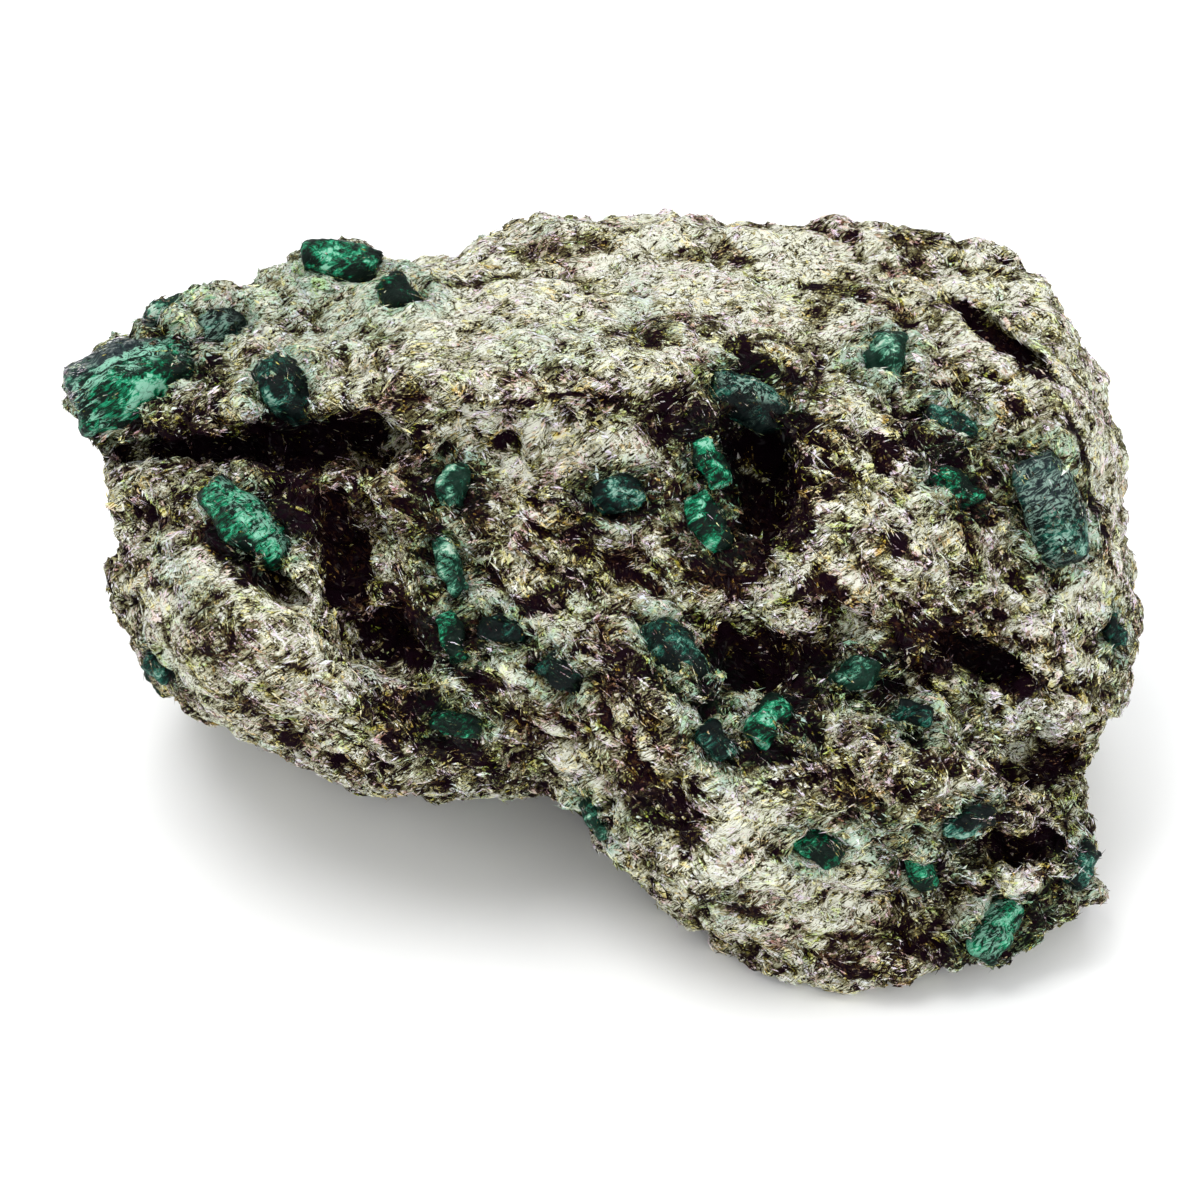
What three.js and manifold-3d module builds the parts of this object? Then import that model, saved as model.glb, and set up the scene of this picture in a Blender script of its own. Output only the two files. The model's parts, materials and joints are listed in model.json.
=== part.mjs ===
// Emerald in matrix: one hand specimen of mica schist with emerald crystals grown into it.
// Millimetres, +Z up. The stone lies on a flat parting face at z = 0, its rich side towards -Y and up.
//
// Everything is shaped in "face" coordinates and leaned back once, by the group at the end:
//   u runs to the right along the show face, v runs up it, and d stands out of it.
import * as THREE from "three";
import { ImprovedNoise } from "three/addons/math/ImprovedNoise.js";
import { mergeVertices } from "three/addons/utils/BufferGeometryUtils.js";
import Module from "manifold-3d";

// ---- Driving dimensions ----
const leanDeg = 40; // the show face is seen square on from this far above the horizon
const frontDepth = 24; // how far the stone bulges out of its outline plane towards the front
const backDepth = 47; // and towards the back, before it breaks off flat
const boxiness = 0.72; // 1 gives an ellipsoid, less gives squarer shoulders
const faceSteps = 20; // facets across the show face each way; four times as many go round the outline
const depthSteps = 10; // rows of facets from the front to the back; even, so that one row is the outline
const toeForward = 0.006; // the outline plane curls forward below its centre: d = toeForward * v * v
const footLevel = -26; // height of the parting face below the outline's centre
const flatness = 0.85; // how nearly what lies beyond a break is pressed flat
const broadWaves = { size: 19, height: 2.2, seed: 0.7 }; // uneven swell all over the stone
const fineWaves = { size: 8, height: 1.3, seed: 1.9 };
const waveFade = 0.6; // power by which that swell dies away towards the drawn outline
const swellFall = 1.5; // power by which a swell of the show face dies away towards its own edge
const ledges = { turn: -34, along: 17, across: 5.5, depth: 7, height: 1.6 }; // steps along the foliation
const pocketGap = 0.3; // clearance between a crystal and its pocket
const crystalLean = 0.4; // how far a crystal of the show face leans with the surface that it sits in
const farOut = 200; // beyond the whole stone, in any direction
const rimBlend = { low: 0.02, high: 0.3 }; // a break starts and is whole this far off the outline plane
const faceBlend = { low: 0.05, high: 0.55 }; // and so do the swells of the show face
const roughHollow = { size: 0.9, height: 0.35, sink: 0.15 }; // a hollow, in shares of its half sizes
const beryl = { sides: 6, foot: 0.75, waist: -0.1, head: 0.7, unevenness: 0.22 }; // likewise a crystal

// The outline of the show face, as [u, v] from its centre, anticlockwise from the right.
const outline = [
  [54, 1.5], [52, 6], [53, 11], [50.5, 21], [46.5, 26], [45, 31.5], [40.5, 34], [36, 35],
  [24.5, 37.6], [15, 36.6], [8, 38], [-6, 37.8], [-16, 33.4], [-20, 33], [-24, 35.2], [-28, 35.6],
  [-31.5, 32.3], [-36.5, 31], [-41.5, 30.3], [-46, 27], [-51.5, 25], [-54, 20], [-52, 15.8],
  [-47.3, 14.6], [-50, 11.5], [-48, 7], [-49.2, 0], [-45, -9.2], [-38, -14], [-32, -16.2],
  [-23.5, -21.1], [-15, -20.6], [-6.3, -20.2], [-2, -22], [0, -25.4], [3, -28], [7, -31.4],
  [12.7, -36.4], [22, -40], [28, -40], [30, -37.7], [39, -37.3], [50.5, -30], [48, -19.8],
  [48.2, -16.4], [52.2, -13.8], [51.8, -11], [53.8, -8],
];

// Broad swells and dips of the show face: half sizes a by b, turned anticlockwise, raised by lift.
const swells = [
  { name: "left arm", u: -42, v: 21, a: 15, b: 8, turn: 12, lift: 6 },
  { name: "lower left boss", u: -34, v: -6, a: 17, b: 11, turn: -32, lift: 8 },
  { name: "dip under the top shelf", u: -9, v: 13.5, a: 21, b: 4.5, turn: 0, lift: -4 },
  { name: "top shelf", u: -6, v: 23, a: 27, b: 8, turn: 4, lift: 4 },
  { name: "middle hollow", u: -16, v: 0, a: 13, b: 15, turn: 0, lift: -5 },
  { name: "centre rib", u: 3, v: -10, a: 17, b: 6, turn: -48, lift: 4 },
  { name: "right boss", u: 29, v: 4, a: 14, b: 12, turn: -30, lift: 5 },
  { name: "right ridge", u: 46, v: 12, a: 15, b: 6, turn: -66, lift: 5 },
  { name: "lower right boss", u: 28, v: -18, a: 13, b: 9, turn: -25, lift: 5 },
  { name: "trough across the lower right", u: 24, v: -7, a: 18, b: 4, turn: -24, lift: -5 },
  { name: "foot lobe", u: 17, v: -31, a: 15, b: 8, turn: -28, lift: 4 },
  { name: "right toe", u: 43, v: -29, a: 10, b: 4, turn: 6, lift: 5 },
];

// Deep hollows, cut right out. a by b at the mouth, deep below it, turned anticlockwise.
const hollows = [
  { name: "cleft under the arm", u: -28, v: 14.6, a: 10.5, b: 3.4, deep: 11, turn: 2 },
  { name: "cleft to the left edge", u: -43, v: 13.6, a: 11, b: 1.4, deep: 11, turn: 3 },
  { name: "cleft down the middle", u: -25, v: 4.6, a: 3.4, b: 7, deep: 9, turn: 12 },
  { name: "cleft below the island", u: -33.4, v: 2.4, a: 6.4, b: 1.8, deep: 6, turn: -38 },
  { name: "left pit", u: -21.5, v: -4.6, a: 4.6, b: 3.6, deep: 8, turn: -20 },
  { name: "big cavity", u: 15.8, v: 10.8, a: 3.9, b: 7.4, deep: 12, turn: 8 },
  { name: "lower cavity", u: 14.4, v: -6.4, a: 4, b: 4.3, deep: 7, turn: 14 },
  { name: "right slot", u: 37, v: -6.8, a: 7, b: 2, deep: 6, turn: -30 },
  { name: "slot behind the ridge", u: 39.5, v: 25, a: 7.4, b: 1.3, deep: 5, turn: -38 },
  { name: "recess under the right ledge", u: 44.4, v: -17, a: 6.6, b: 2.8, deep: 6, turn: 4 },
  { name: "toe recess", u: 41, v: -25.6, a: 6.5, b: 1.6, deep: 5, turn: 6 },
];

// The stone breaks along flat faces: which way each faces in the resting pose, and how far it is from the
// outline's centre.
const breaks = [
  { name: "back", out: [0.1, 1, 0.14], at: 26 },
  { name: "left back", out: [-0.9, 0.8, -0.15], at: 42 },
  { name: "right back", out: [1, 0.75, 0.1], at: 46 },
  { name: "upper back", out: [-0.15, 0.85, 0.8], at: 34 },
  { name: "crown", out: [0.06, -0.12, 1], at: 28 },
  { name: "crown left", out: [-0.5, -0.1, 0.9], at: 35 },
  { name: "right flank", out: [1, -0.55, 0.2], at: 51 },
  { name: "left front", out: [-0.6, -0.8, -0.1], at: 41 },
  { name: "toe", out: [0.1, -1, -0.25], at: 34 },
];

// The crystals of the show face: centre, length by width, turned anticlockwise, and how proud each stands.
const faceCrystals = [
  { name: "emerald_left_knob", u: -46.2, v: 20.6, long: 13, wide: 10.4, turn: 16, proud: 3.6 },
  { name: "emerald_knob_upper", u: -37.4, v: 26.4, long: 4.4, wide: 3.4, turn: 10, proud: 1.2,
    tone: "dark" },
  { name: "emerald_left_rear", u: -42.6, v: 28.3, long: 6, wide: 2.6, turn: 24, proud: 0.8, tone: "pale" },
  { name: "emerald_arm", u: -31, v: 20, long: 6.6, wide: 5.6, turn: -50, proud: 1.4, tone: "dark" },
  { name: "emerald_top_knob", u: -25.8, v: 32.6, long: 7.4, wide: 4.6, turn: -8, proud: 2.2 },
  { name: "emerald_top_knob_right", u: -19.4, v: 28.6, long: 6.4, wide: 4.2, turn: -52, proud: 1.2 },
  { name: "emerald_cleft_island", u: -34.6, v: 6.6, long: 10, wide: 4.8, turn: -46, proud: 2 },
  { name: "emerald_lower_left_edge", u: -43.6, v: -7.8, long: 3.2, wide: 2.4, turn: -30, proud: 0.8,
    tone: "dark" },
  { name: "emerald_centre_left_upper", u: -14.4, v: 10.2, long: 4.2, wide: 3, turn: 80, proud: 1,
    tone: "pale" },
  { name: "emerald_centre_left", u: -14.7, v: 2.3, long: 5.6, wide: 2.8, turn: -66, proud: 1,
    tone: "pale" },
  { name: "emerald_centre_left_lower", u: -14.5, v: -4.6, long: 4.6, wide: 2.4, turn: -72, proud: 1 },
  { name: "emerald_middle", u: -9.6, v: -3.9, long: 4.4, wide: 2.8, turn: -6, proud: 1, tone: "dark" },
  { name: "emerald_middle_lower", u: -3.8, v: -8.2, long: 4, wide: 3.2, turn: -40, proud: 0.9,
    tone: "dark" },
  { name: "emerald_low_left", u: -14.2, v: -13.2, long: 4.6, wide: 2.6, turn: -10, proud: 0.9 },
  { name: "emerald_dark_window", u: 1.8, v: 9.3, long: 4.6, wide: 3.8, turn: 10, proud: 0.7, tone: "dark" },
  { name: "emerald_overhang", u: 14.8, v: 18.8, long: 7.4, wide: 5.2, turn: -22, proud: 0.9, tone: "dark" },
  { name: "emerald_cavity_upper", u: 10.8, v: 12.4, long: 5, wide: 3, turn: -68, proud: 1.4 },
  { name: "emerald_cavity_lower", u: 10.6, v: 6.6, long: 5.6, wide: 3.8, turn: -60, proud: 1.4 },
  { name: "emerald_upper_right_pale", u: 28.2, v: 23, long: 5.2, wide: 4.4, turn: 80, proud: 1,
    tone: "pale" },
  { name: "emerald_right_stain", u: 34.6, v: 16.6, long: 4.6, wide: 2.4, turn: -20, proud: 0.7,
    tone: "dark" },
  { name: "emerald_right_bright", u: 34.7, v: 10.2, long: 5, wide: 3.4, turn: -40, proud: 1.2 },
  { name: "emerald_right_window", u: 44.2, v: 7.8, long: 11.4, wide: 7, turn: -72, proud: 1.6,
    tone: "dark" },
  { name: "emerald_right_edge", u: 51, v: -4.3, long: 3, wide: 2.2, turn: -70, proud: 0.8, tone: "dark" },
  { name: "emerald_lower_cavity_left", u: 7.4, v: -6, long: 7, wide: 4.6, turn: -52, proud: 1.4,
    tone: "dark" },
  { name: "emerald_lower_cavity_foot", u: 16.4, v: -12.6, long: 4.8, wide: 3.8, turn: 50, proud: 1.2 },
  { name: "emerald_lower_cavity_corner", u: 11.2, v: -14.8, long: 4, wide: 2.8, turn: -50, proud: 1,
    tone: "dark" },
  { name: "emerald_mint", u: 25.4, v: -8.4, long: 4.8, wide: 3.6, turn: 20, proud: 1, tone: "pale" },
  { name: "emerald_inky", u: 30.6, v: -12, long: 3.4, wide: 2.6, turn: -20, proud: 0.8, tone: "dark" },
  { name: "emerald_low_green", u: 21.2, v: -24.8, long: 5, wide: 3.6, turn: -48, proud: 1.2 },
  { name: "emerald_low_bright", u: 31.4, v: -27.4, long: 4.4, wide: 3.2, turn: -60, proud: 1.2 },
  { name: "emerald_hooded", u: 36.2, v: -22.6, long: 4.8, wide: 2.8, turn: 18, proud: 1.2, tone: "dark" },
  { name: "emerald_right_foot", u: 47.6, v: -27.2, long: 4.2, wide: 3, turn: 50, proud: 1, tone: "dark" },
  { name: "emerald_bottom_right", u: 39, v: -33.6, long: 6, wide: 4.6, turn: 62, proud: 1.4 },
  { name: "emerald_bottom_notch", u: -0.6, v: -22.4, long: 4.2, wide: 2.2, turn: -58, proud: 0.8,
    tone: "pale" },
];

// Crystals on the sides and back, each found along a direction of the resting pose from the stone's middle.
const hiddenCrystals = [
  { name: "emerald_crown_left", from: [-0.35, 1, 0.85], long: 7, wide: 4.6, turn: 20, proud: 1.4 },
  { name: "emerald_crown_right", from: [0.85, 1, 0.75], long: 5, wide: 3.6, turn: 60, proud: 1.2,
    tone: "pale" },
  { name: "emerald_back_high", from: [0.25, 1, 0.45], long: 8.6, wide: 6.4, turn: 35, proud: 2 },
  { name: "emerald_back_middle", from: [-0.5, 1, 0.1], long: 6, wide: 4.4, turn: -30, proud: 1.3,
    tone: "dark" },
  { name: "emerald_back_right", from: [1, 0.8, 0.1], long: 5.4, wide: 4, turn: 10, proud: 1.2 },
  { name: "emerald_back_low", from: [0.3, 1, -0.3], long: 4.6, wide: 3.2, turn: -55, proud: 1,
    tone: "dark" },
  { name: "emerald_back_left", from: [-1, 0.6, 0.05], long: 5.2, wide: 3.8, turn: 75, proud: 1.2 },
  { name: "emerald_left_flank", from: [-1, 0, -0.25], long: 4.4, wide: 3, turn: -20, proud: 1,
    tone: "pale" },
  { name: "emerald_right_flank", from: [1, 0.25, -0.2], long: 4.8, wide: 3.4, turn: 40, proud: 1.1,
    tone: "dark" },
];

// ---- Finishes ----
const finishes = {
  schist: new THREE.MeshStandardMaterial({ color: 0x76766a, roughness: 0.62, metalness: 0 }),
  bright: new THREE.MeshStandardMaterial({ color: 0x0f8a5b, roughness: 0.22, metalness: 0 }),
  dark: new THREE.MeshStandardMaterial({ color: 0x0d4038, roughness: 0.25, metalness: 0 }),
  pale: new THREE.MeshStandardMaterial({ color: 0x6fae92, roughness: 0.32, metalness: 0 }),
};

// ---- Solids: closed meshes joined and cut ----
const wasm = await Module();
wasm.setup();

function welded(geometry) {
  const bare = geometry.clone();
  bare.deleteAttribute("normal");
  bare.deleteAttribute("uv");
  return mergeVertices(bare, 1e-4);
}

function solidOf(geometry) {
  const closed = welded(geometry);
  const vertProperties = new Float32Array(closed.attributes.position.array);
  const triVerts = new Uint32Array(closed.index.array);
  return new wasm.Manifold(new wasm.Mesh({ numProp: 3, vertProperties, triVerts }));
}

function geometryOf(solid) {
  const { vertProperties, triVerts } = solid.getMesh();
  const geometry = new THREE.BufferGeometry();
  geometry.setAttribute("position", new THREE.BufferAttribute(vertProperties, 3));
  geometry.setIndex(new THREE.BufferAttribute(triVerts, 1));
  geometry.computeVertexNormals();
  return geometry;
}

// ---- Noise, always the same ----
const perlin = new ImprovedNoise();
const noiseAt = (p, size, seed) =>
  perlin.noise(p.x / size + seed, p.y / size + 2 * seed, p.z / size + 3 * seed);

// ---- The schist ----
// Where a ray from the outline's centre leaves the outline, at this angle.
function outlineRadius(angle) {
  const ray = new THREE.Vector2(Math.cos(angle), Math.sin(angle));
  for (let i = 0; i < outline.length; i++) {
    const a = new THREE.Vector2(...outline[i]);
    const b = new THREE.Vector2(...outline[(i + 1) % outline.length]);
    const side = b.clone().sub(a);
    const across = ray.cross(side);
    const reach = a.cross(side) / across;
    const along = a.cross(ray) / across;
    if (reach > 0 && along >= 0 && along < 1) return reach;
  }
  throw new Error("the outline has a gap");
}

// Position in a feature's own turned axes, in units of its half sizes.
function withinFeature(feature, u, v) {
  const turn = THREE.MathUtils.degToRad(feature.turn);
  const du = u - feature.u;
  const dv = v - feature.v;
  const along = (du * Math.cos(turn) + dv * Math.sin(turn)) / feature.a;
  const across = (dv * Math.cos(turn) - du * Math.sin(turn)) / feature.b;
  return Math.hypot(along, across);
}

function swellLift(u, v) {
  return swells.reduce((sum, swell) => {
    const share = Math.max(0, 1 - withinFeature(swell, u, v) ** 2);
    return sum + swell.lift * share ** swellFall;
  }, 0);
}

// Schist parts in long ledges along its foliation, which runs down to the right across the show face.
const grainAngle = THREE.MathUtils.degToRad(ledges.turn);
function ledgeNoise(p) {
  const along = p.x * Math.cos(grainAngle) + p.y * Math.sin(grainAngle);
  const across = p.y * Math.cos(grainAngle) - p.x * Math.sin(grainAngle);
  return perlin.noise(along / ledges.along, across / ledges.across, p.z / ledges.depth);
}

function unevenness(p) {
  const broad = broadWaves.height * noiseAt(p, broadWaves.size, broadWaves.seed);
  const fine = fineWaves.height * noiseAt(p, fineWaves.size, fineWaves.seed);
  return broad + fine + ledges.height * ledgeNoise(p);
}

// Turns the resting pose's directions into face coordinates.
const uprightToFace = new THREE.Euler(-THREE.MathUtils.degToRad(90 - leanDeg), 0, 0);

// A direction of the ball, pressed to the stone. At direction.z = 0 the outline keeps its drawn shape.
function stonePoint(direction) {
  const { smoothstep } = THREE.MathUtils;
  const inPlane = Math.hypot(direction.x, direction.y);
  const offRim = Math.abs(direction.z);
  const angle = Math.atan2(direction.y, direction.x);
  const radius = outlineRadius(angle) * inPlane ** boxiness;
  const depth = direction.z > 0 ? frontDepth : -backDepth;
  const p = new THREE.Vector3(radius * Math.cos(angle), radius * Math.sin(angle), 0);
  p.z = depth * offRim ** boxiness;
  p.z += toeForward * Math.min(0, p.y) ** 2;
  const offOutline = smoothstep(offRim, rimBlend.low, rimBlend.high);
  for (const { out, at } of breaks) {
    const normal = new THREE.Vector3(...out).normalize().applyEuler(uprightToFace);
    const beyond = p.dot(normal) - at;
    if (beyond > 0) p.addScaledVector(normal, -flatness * beyond * offOutline);
  }
  p.z += swellLift(p.x, p.y) * smoothstep(direction.z, faceBlend.low, faceBlend.high);
  return p.addScaledVector(direction, unevenness(p) * offRim ** waveFade);
}

// A gridded cube is blown up to a ball, with its facets spread evenly by the tangent, and pressed.
function pressedStone() {
  const cube = welded(new THREE.BoxGeometry(2, 2, 2, faceSteps, faceSteps, depthSteps));
  const at = cube.attributes.position;
  const direction = new THREE.Vector3();
  for (let i = 0; i < at.count; i++) {
    const even = [at.getX(i), at.getY(i), at.getZ(i)].map((side) => Math.tan((side * Math.PI) / 4));
    direction.set(...even).normalize();
    at.setXYZ(i, ...stonePoint(direction));
  }
  return cube;
}

// The surface point that a ray meets first, with the outward normal there.
const caster = new THREE.Raycaster();
function surfaceHit(geometry, origin, toward) {
  const skin = new THREE.Mesh(geometry, finishes.schist);
  skin.updateMatrixWorld();
  caster.set(origin, toward.clone().normalize());
  const [hit] = caster.intersectObject(skin);
  if (!hit) throw new Error("a crystal or hollow misses the stone");
  return { point: hit.point, normal: hit.face.normal.clone() };
}

const fromFront = (geometry, u, v) =>
  surfaceHit(geometry, new THREE.Vector3(u, v, farOut), new THREE.Vector3(0, 0, -1));

// A lumpy ellipsoid sunk into the show face, to cut a hollow with.
function hollowCutter(hollow, skin) {
  const lump = welded(new THREE.IcosahedronGeometry(1, 2));
  const at = lump.attributes.position;
  const p = new THREE.Vector3();
  for (let i = 0; i < at.count; i++) {
    p.fromBufferAttribute(at, i);
    p.multiplyScalar(1 + roughHollow.height * noiseAt(p, roughHollow.size, hollow.u));
    at.setXYZ(i, hollow.a * p.x, hollow.b * p.y, hollow.deep * p.z);
  }
  lump.rotateZ(THREE.MathUtils.degToRad(hollow.turn));
  const mouth = fromFront(skin, hollow.u, hollow.v).point;
  return lump.translate(mouth.x, mouth.y, mouth.z - roughHollow.sink * hollow.deep);
}

// Everything below the parting face that the stone rests on, as a slab in face coordinates.
function groundSlab() {
  const slab = new THREE.BoxGeometry(farOut, farOut, farOut);
  slab.translate(0, 0, footLevel - farOut / 2);
  return slab.rotateX(uprightToFace.x);
}

// ---- The emeralds ----
// A stubby six-sided beryl prism with a swollen waist, its long axis along X, slightly irregular.
function crystalGeometry(crystal, grow = 0) {
  const r = crystal.wide / 2 + grow;
  const h = crystal.long / 2 + grow;
  const profile = [[0, -h], [beryl.foot * r, -h], [r, beryl.waist * h], [beryl.head * r, h], [0, h]];
  const points = profile.map(([x, y]) => new THREE.Vector2(x, y));
  const prism = welded(new THREE.LatheGeometry(points, beryl.sides));
  const at = prism.attributes.position;
  const p = new THREE.Vector3();
  for (let i = 0; i < at.count; i++) {
    p.fromBufferAttribute(at, i);
    const lean = beryl.unevenness * noiseAt(p, 0.6 * crystal.long, crystal.long);
    at.setXYZ(i, p.x * (1 + lean), p.y, p.z * (1 - lean));
  }
  return prism.rotateZ(-Math.PI / 2);
}

// Seats a crystal in the surface at a hit: long axis across the face, turned about the way out.
function seatedCrystal(crystal, hit, wayOut) {
  const mesh = new THREE.Mesh(crystalGeometry(crystal), finishes[crystal.tone ?? "bright"]);
  mesh.name = crystal.name;
  const lean = new THREE.Quaternion().setFromUnitVectors(new THREE.Vector3(0, 0, 1), wayOut);
  const turn = THREE.MathUtils.degToRad(crystal.turn);
  const spin = new THREE.Quaternion().setFromAxisAngle(new THREE.Vector3(0, 0, 1), turn);
  mesh.quaternion.copy(lean).multiply(spin);
  mesh.position.copy(hit.point).addScaledVector(wayOut, crystal.proud - crystal.wide / 2);
  mesh.updateMatrix();
  return mesh;
}

function faceCrystal(crystal, skin) {
  const hit = fromFront(skin, crystal.u, crystal.v);
  const wayOut = new THREE.Vector3(0, 0, 1).addScaledVector(hit.normal, crystalLean).normalize();
  return seatedCrystal(crystal, hit, wayOut);
}

function hiddenCrystal(crystal, skin) {
  const direction = new THREE.Vector3(...crystal.from).normalize().applyEuler(uprightToFace);
  const hit = surfaceHit(skin, direction.clone().multiplyScalar(farOut), direction.clone().negate());
  const wayOut = direction.add(hit.normal).normalize();
  return seatedCrystal(crystal, hit, wayOut);
}

// ---- Assembly ----
const pressed = pressedStone();
let stone = solidOf(pressed).subtract(solidOf(groundSlab()));
for (const hollow of hollows) stone = stone.subtract(solidOf(hollowCutter(hollow, pressed)));

const skin = geometryOf(stone);
const crystals = [
  ...faceCrystals.map((crystal) => [crystal, faceCrystal(crystal, skin)]),
  ...hiddenCrystals.map((crystal) => [crystal, hiddenCrystal(crystal, skin)]),
];
for (const [crystal, mesh] of crystals)
  stone = stone.subtract(solidOf(crystalGeometry(crystal, pocketGap).applyMatrix4(mesh.matrix)));

const matrix = new THREE.Mesh(geometryOf(stone), finishes.schist);
matrix.name = "schist_matrix";

// Face coordinates lean back to the stone's resting pose.
const leaned = new THREE.Group();
leaned.rotation.x = THREE.MathUtils.degToRad(90 - leanDeg);
leaned.add(matrix, ...crystals.map(([, mesh]) => mesh));

// The origin is under the middle of the stone, on the surface that it rests on.
const specimen = new THREE.Group();
specimen.add(leaned);
specimen.updateMatrixWorld(true);
const extent = new THREE.Box3().setFromObject(specimen, true);
const middle = extent.getCenter(new THREE.Vector3());
leaned.position.set(-middle.x, -middle.y, -extent.min.z);

export default specimen;
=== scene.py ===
import math
import bmesh
import bpy
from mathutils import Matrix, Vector, noise
from mathutils.bvhtree import BVHTree
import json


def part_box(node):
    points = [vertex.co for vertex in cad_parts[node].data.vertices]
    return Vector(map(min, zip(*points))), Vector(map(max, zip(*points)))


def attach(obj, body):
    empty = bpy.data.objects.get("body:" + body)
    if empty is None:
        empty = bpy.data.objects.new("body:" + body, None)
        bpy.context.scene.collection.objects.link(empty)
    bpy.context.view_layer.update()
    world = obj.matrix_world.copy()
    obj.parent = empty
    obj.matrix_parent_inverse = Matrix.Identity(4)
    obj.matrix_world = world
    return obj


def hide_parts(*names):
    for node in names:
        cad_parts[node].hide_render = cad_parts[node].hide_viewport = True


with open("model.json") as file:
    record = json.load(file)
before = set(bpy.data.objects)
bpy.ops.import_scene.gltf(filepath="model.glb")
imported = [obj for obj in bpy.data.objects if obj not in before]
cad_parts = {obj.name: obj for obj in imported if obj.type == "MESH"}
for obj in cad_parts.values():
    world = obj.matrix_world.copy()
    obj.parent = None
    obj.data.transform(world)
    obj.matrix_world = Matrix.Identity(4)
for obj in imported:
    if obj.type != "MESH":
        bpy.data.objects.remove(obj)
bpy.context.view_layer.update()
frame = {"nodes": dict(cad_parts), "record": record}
cadNodes = frame["nodes"]
mm = 0.001
noise.seed_set(5)  # noise_vector starts from a chance offset unless it is given a seed

# The show face leans back. On it u runs to the right and v up, in mm from its centre.
face = {"lean": math.radians(40), "centre": Vector((-0.28, 1.08, 26.0))}
faceRight = Vector((1, 0, 0))
faceUp = Vector((0, math.sin(face["lean"]), math.cos(face["lean"])))
faceOut = Vector((0, -math.cos(face["lean"]), math.sin(face["lean"])))


def onFace(point):
    # point is in mm
    away = point - face["centre"]
    return away.dot(faceRight), away.dot(faceUp)


def smoothStep(value, low, high):
    share = min(1.0, max(0.0, (value - low) / (high - low)))
    return share * share * (3 - 2 * share)


def addPiece(name, mesh, material):
    piece = bpy.data.objects.new(name, mesh)
    bpy.context.scene.collection.objects.link(piece)
    mesh.materials.clear()
    mesh.materials.append(material)
    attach(piece, "root")
    return piece


def appliedMesh(piece, name):
    graph = bpy.context.evaluated_depsgraph_get()
    mesh = bpy.data.meshes.new_from_object(piece.evaluated_get(graph), depsgraph=graph)
    mesh.name = name
    return mesh


def addSolid(shapes, nodeName, swell=0.0):
    # adds a CAD node's copy, its loose triangles merged and its skin moved out by swell mm
    solid = bmesh.new()
    solid.from_mesh(cadNodes[nodeName].data)
    bmesh.ops.remove_doubles(solid, verts=solid.verts, dist=1e-6)
    solid.normal_update()
    for vertex in solid.verts:
        vertex.co += swell * mm * vertex.normal
    part = bpy.data.meshes.new("part")
    solid.to_mesh(part)
    solid.free()
    shapes.from_mesh(part)
    bpy.data.meshes.remove(part)


def evenNet(shapes, name, voxel):
    # fuses solids into one skin of small even quads
    mesh = bpy.data.meshes.new(name + "_solid")
    shapes.to_mesh(mesh)
    shapes.free()
    rough = bpy.data.objects.new(name + "_solid", mesh)
    bpy.context.scene.collection.objects.link(rough)
    fuse = rough.modifiers.new("fuse", "REMESH")
    fuse.mode = "VOXEL"
    fuse.voxel_size = voxel * mm
    made = appliedMesh(rough, name)
    bpy.data.objects.remove(rough)
    bpy.data.meshes.remove(mesh)
    return made


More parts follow.
